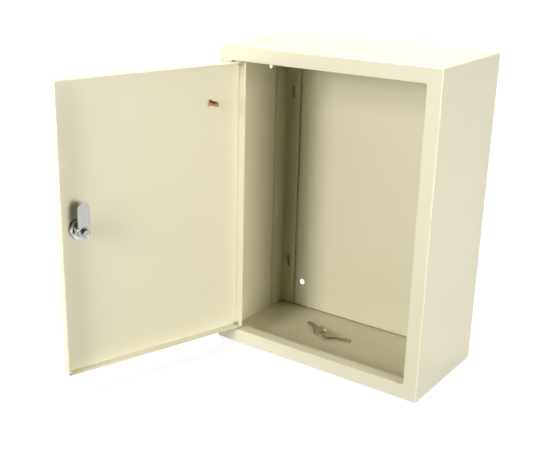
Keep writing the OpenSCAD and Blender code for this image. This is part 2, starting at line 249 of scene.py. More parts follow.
def named(name, place=Matrix()):
    """Names the newest object and works its place into its mesh."""
    piece = bpy.context.object
    piece.name = piece.data.name = name
    piece.matrix_world = place @ piece.matrix_world
    bpy.ops.object.transform_apply()
    return piece


def block(name, low, high, place=Matrix()):
    """A box from its lowest to its highest corner, to be shaped further."""
    bpy.ops.object.select_all(action="DESELECT")
    bpy.ops.mesh.primitive_cube_add(size=1, location=(low + high) / 2)
    bpy.context.object.scale = high - low
    bpy.context.view_layer.update()
    return named(name, place)


def only(piece):
    bpy.ops.object.select_all(action="DESELECT")
    piece.select_set(True)
    bpy.context.view_layer.objects.active = piece


@contextlib.contextmanager
def shaping(piece):
    """Edit mode on one piece."""
    only(piece)
    bpy.ops.object.mode_set(mode="EDIT")
    yield
    bpy.ops.object.mode_set(mode="OBJECT")


def pick(kind, test):
    """Selects the faces or edges whose middle and direction pass the test."""
    bpy.ops.mesh.select_mode(type=kind)
    bpy.ops.mesh.select_all(action="DESELECT")
    mesh = bmesh.from_edit_mesh(bpy.context.object.data)
    mesh.normal_update()
    if kind == "FACE":
        parts = [(face, face.calc_center_median(), face.normal) for face in mesh.faces]
    else:
        parts = [(edge, (edge.verts[0].co + edge.verts[1].co) / 2,
                  (edge.verts[1].co - edge.verts[0].co).normalized()) for edge in mesh.edges]
    for part, middle, direction in parts:
        if test(middle, direction):
            part.select_set(True)
    mesh.select_flush_mode()
    bmesh.update_edit_mesh(bpy.context.object.data)


def put(piece, place):
    """Moves a piece to its place and leaves its origin behind."""
    only(piece)
    piece.matrix_world = place
    bpy.ops.object.transform_apply()


def twin(piece, name):
    """A copy of a piece, with a mesh of its own."""
    copy = piece.copy()
    copy.data = piece.data.copy()
    copy.name = copy.data.name = name
    bpy.context.scene.collection.objects.link(copy)
    return copy


def finish_with(piece, kind, **settings):
    """Adds a modifier to a piece and applies it."""
    only(piece)
    modifier = piece.modifiers.new(kind, kind)
    for key, value in settings.items():
        setattr(modifier, key, value)
    bpy.ops.object.modifier_apply(modifier=modifier.name)


def cut(piece, *cutters, operation="DIFFERENCE"):
    for cutter in cutters:
        finish_with(piece, "BOOLEAN", operation=operation, object=cutter, solver="EXACT")
        bpy.data.objects.remove(cutter)


def drill(piece, middle, direction, radius, depth, place=Matrix(), sides=32):
    """Cuts a round hole through a piece."""
    bpy.ops.object.select_all(action="DESELECT")
    bpy.ops.mesh.primitive_cylinder_add(vertices=sides, radius=radius * MM, depth=depth * MM)
    turn = Vector(direction).to_track_quat("Z", "Y").to_matrix().to_4x4()
    cut(piece, named("drill", place @ Matrix.Translation(middle) @ turn))


def smooth(piece, degrees=30):
    only(piece)
    bpy.ops.object.shade_smooth_by_angle(angle=math.radians(degrees))


def shade_flats(piece):
    """Smooth shading that keeps large flat faces flat."""
    smooth(piece, CREASE)
    finish_with(piece, "WEIGHTED_NORMAL", keep_sharp=True, weight=60)


def ease(piece, width, steps=2, sharper_than=EASED_CREASE):
    """Takes the sharpness off the edges that turn through more than the angle."""
    finish_with(piece, "BEVEL", width=width * MM, segments=steps, limit_method="ANGLE",
                angle_limit=math.radians(sharper_than))


def break_edges(piece, width, steps=2):
    ease(piece, width, steps)
    shade_flats(piece)


def fit(piece, body, slot, finish, *nodes):
    """Hands a piece over: its finish, the body it moves with and the nodes it stands for."""
    finish.wear(piece)
    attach(piece, body)
    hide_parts(*nodes)


def powder_coat(name, dull, bright):
    """Cream powder coat with faint clouds, dark specks and orange peel."""
    coat = Finish(name, Coat_Roughness=0.25, Specular_IOR_Level=0.45)
    clouds = coat.noise(scale=7, detail=3)
    specks = coat.ramp(coat.noise(scale=310, detail=1), (0.70, 0), (0.78, 1))
    peel = coat.noise(scale=620)
    coat.feed(coat.shader, {
        "Base Color": coat.mix(specks * 0.12, coat.mix(clouds, dull, bright), SPECK),
        "Roughness": coat.noise(scale=45, detail=4).between(0.33, 0.43),
        "Coat Weight": clouds.between(0.08, 0.18),
        "Normal": coat.bump(peel + specks * 0.5, distance=0.00004, strength=0.6),
    })
    return coat


cream_paint = powder_coat("cream_paint", CREAM_DULL, CREAM_BRIGHT)

shell = block("shell", cabinet(0, 0, 0), cabinet(BODY_WIDE, BODY_DEEP, BODY_HIGH))
rim_low = cabinet(FRAME_WIDE - NEAR, 0, FRAME_WIDE - NEAR)
rim_high = cabinet(BODY_WIDE - FRAME_WIDE + NEAR, 0, BODY_HIGH - FRAME_WIDE + NEAR)


def in_opening(middle):
    return (rim_low.x < middle.x < rim_high.x) and (rim_low.z < middle.z < rim_high.z)


with shaping(shell):
    pick("FACE", lambda middle, normal: normal.y < -FACING)
    bpy.ops.mesh.inset(thickness=FRAME_WIDE * MM)
    bpy.ops.mesh.extrude_region_move(TRANSFORM_OT_translate={"value": (0, LIP_DEEP * MM, 0)})
    bpy.ops.mesh.delete(type="FACE")
    pick("FACE", lambda middle, normal: normal.y > FACING)
    bpy.ops.mesh.delete(type="FACE")
    pick("EDGE", lambda middle, run: in_opening(middle) and abs(run.y) > FACING)
    bpy.ops.mesh.bevel(offset=OPENING_CORNER * MM, segments=5, affect="EDGES")
    front = cabinet(0, NEAR, 0).y
    pick("EDGE", lambda middle, run: in_opening(middle) and middle.y < front)
    bpy.ops.mesh.bevel(offset=LIP_FOLD * MM, segments=4, affect="EDGES")
    outer_low = cabinet(NEAR, 0, NEAR)
    outer_high = cabinet(BODY_WIDE - NEAR, 0, BODY_HIGH - NEAR)
    pick("EDGE", lambda middle, run: (
        (middle.x < outer_low.x or middle.x > outer_high.x)
        + (middle.z < outer_low.z or middle.z > outer_high.z)
        + (middle.y < front) == 2))
    bpy.ops.mesh.bevel(offset=FOLD * MM, segments=4, affect="EDGES")
finish_with(shell, "SOLIDIFY", thickness=SHEET * MM, offset=-1, use_even_offset=True)
for up in (FRAME_WIDE, BODY_HIGH - FRAME_WIDE):
    for across in (PIN_ACROSS, BODY_WIDE - PIN_ACROSS):
        drill(shell, cabinet(across, PIN_BACK, up), (0, 0, 1), PIN_HOLE, depth=4)
cable = mounts["cable_hole"]
drill(shell, Vector(cable["pos_m"]), (1, 0, 0), cable["dims"]["r_mm"], depth=6)
ease(shell, EASE, sharper_than=SHELL_CREASE)

WALLS = {"left": (-1, 0), "right": (1, 0), "top": (0, 1), "bottom": (0, -1)}
for side, (outward_x, outward_z) in WALLS.items():
    wall = twin(shell, side + "_wall")
    with shaping(wall):
        for turn in (-1, 1):
            corner_x = outward_x + turn * outward_z
            corner_z = outward_z - turn * outward_x
            corner = cabinet(BODY_WIDE * (corner_x + 1) / 2, 0, BODY_HIGH * (corner_z + 1) / 2)
            away = Vector((corner_x - 2 * outward_x, 0, corner_z - 2 * outward_z))
            bpy.ops.mesh.select_all(action="SELECT")
            bpy.ops.mesh.bisect(plane_co=corner, plane_no=away, use_fill=True,
                                clear_outer=True)
    if outward_x:
        tab_x = SHEET / 2 if outward_x < 0 else BODY_WIDE - SHEET / 2 - TAB_WIDE
        for up in (SHEET, BODY_HIGH - 2 * SHEET):
            tab = block("tab", cabinet(tab_x, TAB_START, up),
                        cabinet(tab_x + TAB_WIDE, TAB_END, up + SHEET))
            break_edges(tab, TAB_EASE)
            only(wall)
            tab.select_set(True)
            bpy.ops.object.join()
    shade_flats(wall)
    fit(wall, "cabinet", "cream_paint", cream_paint, "body_" + side)
bpy.data.objects.remove(shell)


# Back panel. A flat sheet welded in flush with the rear edges of the walls, with a narrow
# seam all round and four holes that the wall fixings pass through.
REAR_INNER = BODY_DEEP - SHEET
SEAM_WIDE, SEAM_DEEP = 1.4, 0.9
SEAM_SHADE_DARK, SEAM_SHADE_PALE = (0.12, 0.11, 0.07, 1), (0.19, 0.17, 0.11, 1)
wall_holes = mounts["wall_holes"]["dims"]

rear_panel = block("rear_panel", cabinet(SHEET, REAR_INNER + SEAM_DEEP, SHEET),
                   cabinet(BODY_WIDE - SHEET, BODY_DEEP, BODY_HIGH - SHEET))
with shaping(rear_panel):
    pick("FACE", lambda middle, normal: normal.y < -FACING)
    bpy.ops.mesh.inset(thickness=SEAM_WIDE * MM)
    bpy.ops.mesh.extrude_region_move(
        TRANSFORM_OT_translate={"value": (0, -SEAM_DEEP * MM, 0)})
for across in (-0.5, 0.5):
    for up in (-0.5, 0.5):
        middle = Vector((across * wall_holes["spacing_x_mm"], -SHEET / 2,
                         up * wall_holes["spacing_y_mm"])) * MM
        drill(rear_panel, middle, (0, 1, 0), wall_holes["hole_r_mm"], depth=5, sides=40)
break_edges(rear_panel, EASE)
fit(rear_panel, "cabinet", "cream_paint", cream_paint, "back_panel")

# The faces in the seam's groove get a dark brown paint: painted shade, standing for the shadow in
# the seam.
painted_seam_shade = Finish("painted_seam_shade", Roughness=0.7)
painted_seam_shade.feed(painted_seam_shade.shader, {
    "Base Color": painted_seam_shade.mix(painted_seam_shade.noise(scale=200), SEAM_SHADE_DARK, SEAM_SHADE_PALE)})
rear_panel.data.materials.append(painted_seam_shade.material)
rear_panel.active_material_index = 1
with shaping(rear_panel):
    pick("FACE", lambda middle, normal: normal.y < -FACING and middle.y > -SEAM_DEEP * MM)
    bpy.ops.object.material_slot_assign()


# Corner rails. An angle of 1.5 mm steel is spot-welded up each rear corner. Its rear leg
# stands off the back panel and has two keyholes, which a mounting plate hooks into. The
# rails' cream is painted darker than the body's: painted shade for the dark rear corners.
RAIL = 1.5
RAIL_SIDE, RAIL_BACK = 26, 24
RAIL_STAND = 2
RAIL_REAR = REAR_INNER - RAIL_STAND
RAIL_FOLD = 2.2
RAIL_END = 4.4
SLOT_WIDE, SLOT_DROP = 5, 11
SLOT_CUTTER = 4
RAIL_SHADE_DULL, RAIL_SHADE_BRIGHT = (0.545, 0.515, 0.365, 1), (0.585, 0.550, 0.395, 1)
keyholes = mounts["rail_keyholes"]["dims"]

left_rail = block("left_rail", cabinet(SHEET, RAIL_REAR - RAIL_SIDE, RAIL_END),
                  cabinet(SHEET + RAIL_BACK, RAIL_REAR, BODY_HIGH - RAIL_END))
with shaping(left_rail):
    pick("FACE", lambda middle, normal: (
        normal.x > FACING or normal.y < -FACING or abs(normal.z) > FACING))
    bpy.ops.mesh.delete(type="FACE")
    fold_line = cabinet(SHEET, RAIL_REAR, 0)
    pick("EDGE", lambda middle, run: (middle - fold_line).xy.length < NEAR * MM)
    bpy.ops.mesh.bevel(offset=RAIL_FOLD * MM, segments=5, affect="EDGES")
finish_with(left_rail, "SOLIDIFY", thickness=RAIL * MM, offset=-1, use_even_offset=True)
for up in (-0.5, 0.5):
    head = Vector((-keyholes["spacing_x_mm"] / 2, RAIL_REAR - RAIL / 2 - BODY_DEEP,
                   up * keyholes["spacing_y_mm"])) * MM
    drill(left_rail, head, (0, 1, 0), keyholes["hole_r_mm"], depth=5)
    foot = head - Vector((0, 0, SLOT_DROP * MM))
    half = Vector((SLOT_WIDE / 2, SLOT_CUTTER / 2, 0)) * MM
    cut(left_rail, block("slot", foot - half, head + half))
    drill(left_rail, foot, (0, 1, 0), SLOT_WIDE / 2, depth=5)
break_edges(left_rail, EASE)

right_rail = twin(left_rail, "right_rail")
only(right_rail)
right_rail.scale.x = -1
bpy.ops.object.transform_apply()
with shaping(right_rail):
    bpy.ops.mesh.select_all(action="SELECT")
    bpy.ops.mesh.normals_make_consistent(inside=False)
# A darker cream for the rails: painted shade for the dark rear corners of the cabinet.
shaded_rail_paint = powder_coat("shaded_rail_paint", RAIL_SHADE_DULL, RAIL_SHADE_BRIGHT)
fit(left_rail, "cabinet", "cream_paint", shaded_rail_paint, "corner_rail_left")
fit(right_rail, "cabinet", "cream_paint", shaded_rail_paint, "corner_rail_right")


# Door. A shallow pan folded from 1.2 mm steel, with a flange on all four sides, a pair of
# hinge holes at both ends for either hand, and the hole for the lock. Coated like the body.
# It is made closed, from its own lower hinge corner, and then swung open on the pins.
DOOR_WIDE, DOOR_DEEP, DOOR_HIGH = 258, 13, 358.5
PIN_EDGE = 5.5
LOCK_ACROSS, LOCK_UP = 232, 181.75
LOCK_HOLE = 9.3
door_hinge = joints["door_hinge"]
DOOR_OPEN = math.radians(door_hinge["range_deg"][1])
pin_line = Vector(door_hinge["pos_m"])
pin_foot = Vector((pin_line.x, pin_line.y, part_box("door_panel")[0].z))
HUNG = (Matrix.Translation(pin_foot) @ Matrix.Rotation(-DOOR_OPEN, 4, "Z")
        @ Matrix.Translation(Vector((-PIN_EDGE, -PIN_BACK, 0)) * MM))


def on_door(across, inward, up):
    """A point on the closed door, from its lower hinge corner, in millimetres."""
    return Vector((across, inward, up)) * MM


door_pan = block("door_pan", on_door(0, 0, 0), on_door(DOOR_WIDE, DOOR_DEEP, DOOR_HIGH))
with shaping(door_pan):
    pick("FACE", lambda middle, normal: normal.y > FACING)
    bpy.ops.mesh.delete(type="FACE")
    pick("EDGE", lambda middle, run: middle.y < (DOOR_DEEP - NEAR) * MM)
    bpy.ops.mesh.bevel(offset=FOLD * MM, segments=4, affect="EDGES")
finish_with(door_pan, "SOLIDIFY", thickness=SHEET * MM, offset=-1, use_even_offset=True)
for up in (0, DOOR_HIGH):
    for across in (PIN_EDGE, DOOR_WIDE - PIN_EDGE):
        drill(door_pan, on_door(across, PIN_BACK, up), (0, 0, 1), PIN_HOLE, depth=4)
drill(door_pan, on_door(LOCK_ACROSS, 0, LOCK_UP), (0, 1, 0), LOCK_HOLE, depth=6, sides=48)
put(door_pan, HUNG)
break_edges(door_pan, EASE)
fit(door_pan, "door", "cream_paint", cream_paint, "door_panel")


# Earth stud. A copper-flashed M6 threaded stud, drawn-arc welded to the inside of the
# door, with the small upset collar that the weld leaves at its foot.
STUD_ACROSS, STUD_UP = 45.5, 310.5
STUD_CREST, STUD_ROOT = 3.0, 2.5
STUD_COLLAR = [(3.75, 0), (3.7, 0.4), (3.3, 0.7), (STUD_ROOT, 0.8)]
STUD_THREAD_START, STUD_THREAD_END, STUD_PITCH = 1.2, 15.2, 1.0
STUD_TIP = [(STUD_ROOT, 15.6), (2.2, 16)]
ROOT_SHARE, CREST_SHARE = 0.06, 0.44
MERGE = 0.00001
COPPER, TARNISH = (0.52, 0.25, 0.13, 1), (0.28, 0.12, 0.06, 1)


def turned(name, profile, place, sides=48, ring=False):
    """A turned piece: a circle drawn along its axis through (radius, height) steps in mm.
    A ring comes back to its first step, and a solid piece has an end face at both ends."""
    bpy.ops.object.select_all(action="DESELECT")
    radius, height = profile[0]
    bpy.ops.mesh.primitive_circle_add(vertices=sides, radius=radius * MM,
                                      location=(0, 0, height * MM),
                                      fill_type="NOTHING" if ring else "NGON")
    piece = named(name)
    with shaping(piece):
        bpy.ops.mesh.select_all(action="SELECT")
        for step_radius, step_height in profile[1:] + (profile[:1] if ring else []):
            bpy.ops.mesh.extrude_region_move(
                TRANSFORM_OT_translate={"value": (0, 0, (step_height - height) * MM)})
            scale = step_radius / radius
            bpy.ops.transform.resize(value=(scale, scale, 1),
                                     center_override=(0, 0, step_height * MM))
            radius, height = step_radius, step_height
        bpy.ops.mesh.select_all(action="SELECT")
        bpy.ops.mesh.remove_doubles(threshold=MERGE * MM)
        bpy.ops.mesh.normals_make_consistent(inside=False)
    put(piece, place)
    return piece


def thread(crest, root, start, end, pitch):
    """The steps of a screw thread's crests and roots from one height to another."""
    turns = round((end - start) / pitch)
    rise = (end - start) / turns
    steps = []
    for turn in range(turns):
        foot = start + turn * rise
        steps += [(root, foot + ROOT_SHARE * rise),
                  (crest, foot + CREST_SHARE * rise),
                  (crest, foot + (1 - CREST_SHARE) * rise),
                  (root, foot + (1 - ROOT_SHARE) * rise)]
    return steps


copper = Finish("copper_flash", Metallic=1.0)
tarnish = copper.noise(scale=260, detail=4)
copper.feed(copper.shader, {
    "Base Color": copper.mix(copper.ramp(tarnish, (0.42, 0), (0.62, 1)), COPPER, TARNISH),
    "Roughness": tarnish.between(0.18, 0.48),
    "Normal": copper.bump(copper.noise(scale=2400), distance=0.00002, strength=0.5),
})

stud_place = (HUNG @ Matrix.Translation(on_door(STUD_ACROSS, SHEET, STUD_UP))
              @ Matrix.Rotation(math.radians(-90), 4, "X"))
stud_thread = thread(STUD_CREST, STUD_ROOT, STUD_THREAD_START, STUD_THREAD_END, STUD_PITCH)
earth_rod = turned("earth_rod", STUD_COLLAR + stud_thread + STUD_TIP, stud_place)
smooth(earth_rod)
fit(earth_rod, "door", "copper_plate", copper, "door_earth_stud")


# Hinges. A headed steel pin is pushed through the lip into the door's flange at either
# end. A nylon spacer carries the door on the lip, and a sprung clip holds the pin. Pins
# and clips are bright zinc plated, and the pair at the top is the same, upside down.
PIN = 2.0
PIN_HEAD, PIN_HEAD_THICK = 3.0, 1.5
PIN_HEAD_ROUND = ((0.5, 0), (0.1, 0.2), (0, 0.5))
PIN_TIP_ROUND = ((0, 0.5), (0.15, 0.2), (0.5, 0))
PIN_PAST_FLANGE = 2.5
SPACER = 4.0
SPACER_EASE, CLIP_EASE = 0.2, 0.08
CLIP, CLIP_THICK = 3.0, 0.8
CLIP_MOUTH, CLIP_LOBE, LOBE_TURNS = 2.6, 0.55, (115, 245)
FIT_GAP, RUNNING_GAP = 0.05, 0.3
GAP_BELOW, GAP_ABOVE = 3.3, 1.2
ZINC_DARK, ZINC_PALE = (0.32, 0.33, 0.30, 1), (0.42, 0.43, 0.39, 1)
NYLON_DARK, NYLON_PALE = (0.80, 0.79, 0.74, 1), (0.87, 0.87, 0.83, 1)

zinc = Finish("zinc_plate", Metallic=1.0)
rolled = zinc.noise(scale=90, detail=3, stretch=(1, 1, 9))
zinc.feed(zinc.shader, {
    "Base Color": zinc.mix(zinc.noise(scale=150, detail=3), ZINC_DARK, ZINC_PALE),
    "Roughness": rolled.between(0.1, 0.24),
    "Normal": zinc.bump(zinc.noise(scale=1500, detail=3) + rolled, distance=0.00001,
                        strength=0.6),
})
nylon = Finish("white_nylon", IOR=1.53)
nylon_grain = nylon.noise(scale=800)
nylon.feed(nylon.shader, {
    "Base Color": nylon.mix(nylon.noise(scale=120), NYLON_DARK, NYLON_PALE),
    "Roughness": nylon_grain.between(0.38, 0.53),
    "Normal": nylon.bump(nylon_grain, distance=0.00001, strength=0.5),
})

for end, lip_up, gap, turn in (("bottom", FRAME_WIDE, GAP_BELOW, 0),
                               ("top", BODY_HIGH - FRAME_WIDE, GAP_ABOVE, 180)):
    stand = (Matrix.Translation((pin_line.x, pin_line.y, cabinet(0, 0, lip_up).z))
             @ Matrix.Rotation(math.radians(turn), 4, "X"))
    under, tip = -SHEET - PIN_HEAD_THICK, gap + SHEET + PIN_PAST_FLANGE
    head_steps = [(PIN_HEAD - inset, under + rise) for inset, rise in PIN_HEAD_ROUND]
    tip_steps = [(PIN - inset, tip - rise) for inset, rise in PIN_TIP_ROUND]
    pin = turned(end + "_pin", head_steps + [(PIN_HEAD, -SHEET), (PIN, -SHEET)] + tip_steps,
                 stand, sides=32)
    smooth(pin)
    fit(pin, "cabinet", "zinc_plate", zinc, "hinge_pin_" + end)

    top = gap - RUNNING_GAP
    spacer = turned(end + "_spacer", [(PIN + FIT_GAP, 0), (SPACER - SPACER_EASE, 0),
                                      (SPACER, SPACER_EASE), (SPACER, top - SPACER_EASE),
                                      (SPACER - SPACER_EASE, top), (PIN + FIT_GAP, top)],
                    stand, sides=32, ring=True)
    smooth(spacer)
    fit(spacer, "cabinet", "nylon", nylon, "hinge_spacer_" + end)

    seat = gap + SHEET + RUNNING_GAP
    clip = turned(end + "_clip", [(PIN, seat), (CLIP, seat), (CLIP, seat + CLIP_THICK),
                                  (PIN, seat + CLIP_THICK)], stand, sides=40, ring=True)
    mouth = Vector((0, 0, seat + CLIP_THICK / 2)) * MM
    cut(clip, block("mouth", mouth + Vector((0, -CLIP_MOUTH / 2, -CLIP_THICK)) * MM,
                    mouth + Vector((CLIP + OVERSHOOT, CLIP_MOUTH / 2, CLIP_THICK)) * MM,
                    stand))
    for lobe_turn in LOBE_TURNS:
        lobe = Matrix.Rotation(math.radians(lobe_turn), 4, "Z") @ Vector((PIN * MM, 0, 0))
        drill(clip, mouth + lobe, (0, 0, 1), CLIP_LOBE, depth=3, place=stand, sides=16)
    break_edges(clip, CLIP_EASE, steps=1)
    fit(clip, "cabinet", "zinc_plate", zinc, "hinge_clip_" + end)


# Lock housing. A die-cast, chrome-plated cylinder with a flanged front and a threaded
# barrel with two flats, held in the door by a plain washer and a hexagon nut inside.
HEAD, HEAD_THICK = 11.45, 2.5
HEAD_STEPS = [(HEAD - 1.4, -HEAD_THICK), (HEAD - 0.5, 0.25 - HEAD_THICK),
              (HEAD, 0.9 - HEAD_THICK), (HEAD, 0)]
BARREL, BARREL_ROOT, BARREL_FLAT, BARREL_END = 9.25, 8.75, 8.05, 17.0
BARREL_THREAD_START, BARREL_THREAD_END, BARREL_PITCH = 0.4, 16.4, 1.0
BARREL_EASE = 0.3
BORE, COUNTERBORE, COUNTERBORE_DEEP = 6.11, 7.31, 1.55
WASHER, WASHER_THICK, WASHER_EASE = 12.45, 1.0, 0.3
NUT_FLATS, NUT_THICK, NUT_EASE = 22.1, 4.5, 0.15
FACE_SLOPE = 0.58
CHROME_DARK, CHROME_PALE = (0.50, 0.51, 0.50, 1), (0.66, 0.67, 0.66, 1)
LOCKED = (HUNG @ Matrix.Translation(on_door(LOCK_ACROSS, 0, LOCK_UP))
          @ Matrix.Rotation(math.radians(-90), 4, "X")
          @ Matrix.Rotation(math.radians(180), 4, "Z"))

chrome = Finish("chrome_plate", Metallic=1.0)
smears = chrome.noise(scale=130, detail=4)
chrome.feed(chrome.shader, {
    "Base Color": chrome.mix(smears, CHROME_DARK, CHROME_PALE),
    "Roughness": smears.between(0.1, 0.26),
    "Normal": chrome.bump(chrome.noise(scale=900), distance=0.00001, strength=0.4),
})


def hexagon(name, across_flats, foot, thick, place):
    """A hexagon bar end with the corners of both faces turned off."""
    flat = across_flats / 2
    corner = flat / math.cos(math.radians(30))
    drop = FACE_SLOPE * (corner - flat)
    bar = turned(name, [(corner, foot), (corner, foot + thick)],
                 place @ Matrix.Rotation(math.radians(90), 4, "Z"), sides=6)
    faced = turned("faced", [(flat, foot), (corner, foot + drop),
                             (corner, foot + thick - drop), (flat, foot + thick)],
                   place, sides=72)
    cut(bar, faced, operation="INTERSECT")
    return bar


barrel_thread = thread(BARREL, BARREL_ROOT, BARREL_THREAD_START, BARREL_THREAD_END,
                       BARREL_PITCH)
lock_body = turned("lock_body", [(BARREL_ROOT, -HEAD_THICK / 2),
                                 (BARREL_ROOT, BARREL_THREAD_START / 2)] + barrel_thread
                   + [(BARREL_ROOT, BARREL_END - BARREL_THREAD_START),
                      (BARREL_ROOT - BARREL_EASE, BARREL_END)], Matrix(), sides=72)
with shaping(lock_body):
    for side in (-1, 1):
        bpy.ops.mesh.select_all(action="SELECT")
        bpy.ops.mesh.bisect(plane_co=(side * BARREL_FLAT * MM, 0, 0), plane_no=(side, 0, 0),
                            use_fill=True, clear_outer=True)
cut(lock_body, turned("front", HEAD_STEPS, Matrix(), sides=72), operation="UNION")
cut(lock_body, turned("bore", [(COUNTERBORE + BARREL_EASE, -HEAD_THICK - NEAR),
                               (COUNTERBORE, BARREL_EASE - HEAD_THICK),
                               (COUNTERBORE, COUNTERBORE_DEEP - HEAD_THICK),
                               (BORE, COUNTERBORE_DEEP - HEAD_THICK),
                               (BORE, BARREL_END + OVERSHOOT)], Matrix(), sides=64))
put(lock_body, LOCKED)
smooth(lock_body)
fit(lock_body, "door", "chrome_plate", chrome, "lock_housing")

nut_foot = SHEET + WASHER_THICK
lock_disc = turned("lock_disc", [(BARREL + FIT_GAP, SHEET), (WASHER - WASHER_EASE / 2, SHEET),
                                 (WASHER, SHEET + WASHER_EASE / 2),
                                 (WASHER, nut_foot - WASHER_EASE),
                                 (WASHER - WASHER_EASE, nut_foot),
                                 (BARREL + FIT_GAP, nut_foot)],
                   LOCKED, sides=72, ring=True)
smooth(lock_disc)
fit(lock_disc, "door", "zinc_plate", zinc, "lock_washer")

hex_nut = hexagon("hex_nut", NUT_FLATS, nut_foot, NUT_THICK, LOCKED)
drill(hex_nut, Vector((0, 0, nut_foot + NUT_THICK / 2)) * MM, (0, 0, 1),
      BARREL + FIT_GAP, depth=8, place=LOCKED, sides=64)
break_edges(hex_nut, NUT_EASE)
fit(hex_nut, "door", "chrome_plate", chrome, "lock_nut")


# Turning plug and cam. The plug turns in the housing with the key. Its square end carries
# a stamped and zinc-plated steel cam, which a washer and a hexagon-headed screw clamp on.
PLUG, PLUG_COLLAR, PLUG_COLLAR_THICK = 6.05, 7.25, 1.25
PLUG_COLLAR_EASE, PLUG_EASE, PLUG_EDGE = 0.4, 0.3, 0.12
SQUARE = 3.5
KEYWAY_WIDE, KEYWAY_HIGH, KEYWAY_DEEP = 2.3, 7.6, 12
CAM_FOOT, CAM_THICK = 17.3, 2.0
CAM_WIDE, CAM_REACH, CAM_FLAT, CAM_EASE = 16, 36, 0.02, 0.3
SCREW, SCREW_LONG, SCREW_FLATS, SCREW_HEAD_THICK = 2.45, 9.0, 8.0, 3.5
SCREW_TIP_IN, SCREW_TIP_LONG, SCREW_BORE = 0.5, 0.6, 12
SCREW_RIM, SCREW_DISH, SCREW_EASE = 0.5, 0.35, 0.1
DISC, DISC_THICK, DISC_EASE_BELOW, DISC_EASE_ABOVE = 6.0, 1.0, 0.15, 0.25


def on_lock(sideways, up, inward):
    return Vector((sideways, up, inward)) * MM


key_plug = turned("key_plug", [(PLUG_COLLAR - PLUG_COLLAR_EASE, -HEAD_THICK),
                               (PLUG_COLLAR, PLUG_EASE - HEAD_THICK),
                               (PLUG_COLLAR, PLUG_COLLAR_THICK - HEAD_THICK),
                               (PLUG, PLUG_COLLAR_THICK - HEAD_THICK),
                               (PLUG, CAM_FOOT - PLUG_EASE),
                               (PLUG - PLUG_EASE, CAM_FOOT - FIT_GAP)],
                  LOCKED, sides=64)
square_end = block("square_end", on_lock(-SQUARE, -SQUARE, CAM_FOOT - OVERSHOOT),
                   on_lock(SQUARE, SQUARE, CAM_FOOT + CAM_THICK), LOCKED)
cut(key_plug, square_end, operation="UNION")
keyway = block("keyway",
               on_lock(-KEYWAY_WIDE / 2, -KEYWAY_HIGH / 2, -HEAD_THICK - OVERSHOOT),
               on_lock(KEYWAY_WIDE / 2, KEYWAY_HIGH / 2, KEYWAY_DEEP - HEAD_THICK), LOCKED)
cut(key_plug, keyway)
screw_foot = CAM_FOOT + CAM_THICK - SCREW_LONG
drill(key_plug, on_lock(0, 0, screw_foot + SCREW_BORE / 2), (0, 0, 1), SCREW + FIT_GAP,
      depth=SCREW_BORE, place=LOCKED)
break_edges(key_plug, PLUG_EDGE, steps=1)
fit(key_plug, "lock_barrel", "chrome_plate", chrome, "lock_plug")

cam_plate = block("cam_plate", on_lock(-CAM_WIDE / 2, -CAM_WIDE / 2, CAM_FOOT),
                  on_lock(CAM_WIDE / 2, CAM_REACH, CAM_FOOT + CAM_THICK))
with shaping(cam_plate):
    pick("EDGE", lambda middle, run: abs(run.z) > FACING)
    bpy.ops.mesh.bevel(offset=(CAM_WIDE / 2 - CAM_FLAT) * MM, segments=14, affect="EDGES")
eye = SQUARE + FIT_GAP
cut(cam_plate, block("eye", on_lock(-eye, -eye, CAM_FOOT - OVERSHOOT),
                     on_lock(eye, eye, CAM_FOOT + CAM_THICK + OVERSHOOT)))
put(cam_plate, LOCKED)
break_edges(cam_plate, CAM_EASE, steps=3)
fit(cam_plate, "lock_barrel", "zinc_plate", zinc, "lock_cam")

disc_foot = CAM_FOOT + CAM_THICK
head_foot = disc_foot + DISC_THICK
cam_disc = turned("cam_disc", [(SCREW + FIT_GAP, disc_foot),
                               (DISC - DISC_EASE_BELOW, disc_foot),
                               (DISC, disc_foot + DISC_EASE_BELOW),
                               (DISC, head_foot - DISC_EASE_ABOVE),
                               (DISC - DISC_EASE_ABOVE, head_foot),
                               (SCREW + FIT_GAP, head_foot)], LOCKED, ring=True)
smooth(cam_disc)
fit(cam_disc, "lock_barrel", "zinc_plate", zinc, "cam_washer")

hex_screw = hexagon("hex_screw", SCREW_FLATS, head_foot, SCREW_HEAD_THICK, LOCKED)
with shaping(hex_screw):
    crown = LOCKED @ on_lock(0, 0, head_foot + SCREW_HEAD_THICK)
    inward = (LOCKED.to_3x3() @ Vector((0, 0, 1))).normalized()
    pick("FACE", lambda middle, normal: (
        normal.dot(inward) > FACING and abs((middle - crown).dot(inward)) < NEAR / 2 * MM))
    bpy.ops.mesh.inset(thickness=SCREW_RIM * MM, depth=-SCREW_DISH * MM)
shank = turned("shank", [(SCREW - SCREW_TIP_IN, screw_foot),
                         (SCREW, screw_foot + SCREW_TIP_LONG),
                         (SCREW, head_foot + OVERSHOOT / 2)], LOCKED, sides=32)
cut(hex_screw, shank, operation="UNION")
break_edges(hex_screw, SCREW_EASE)
fit(hex_screw, "lock_barrel", "zinc_plate", zinc, "cam_screw")


# Key ring. One turn of spring-steel wire, bent round with its ends left a little apart.
# It stands on edge on the cabinet's floor, held up by the two keys.
RING, WIRE, WIRE_EASE = 6.0, 0.55, 0.12
RING_OPEN_ANGLE, RING_TURN, RING_ROLL = 6, -27.7, 55
RING_ACROSS, RING_BACK, RING_UP = 115.6, 89.5, 8.05
RING_MERGE = 0.001
WIRE_DARK, WIRE_PALE = (0.58, 0.57, 0.54, 1), (0.74, 0.73, 0.70, 1)

spring_wire = Finish("spring_wire", Metallic=1.0)
drawn = spring_wire.noise(scale=700)
spring_wire.feed(spring_wire.shader, {
    "Base Color": spring_wire.mix(drawn, WIRE_DARK, WIRE_PALE),
    "Roughness": drawn.between(0.12, 0.27),
    "Normal": spring_wire.bump(drawn, distance=0.00001, strength=0.5),
})

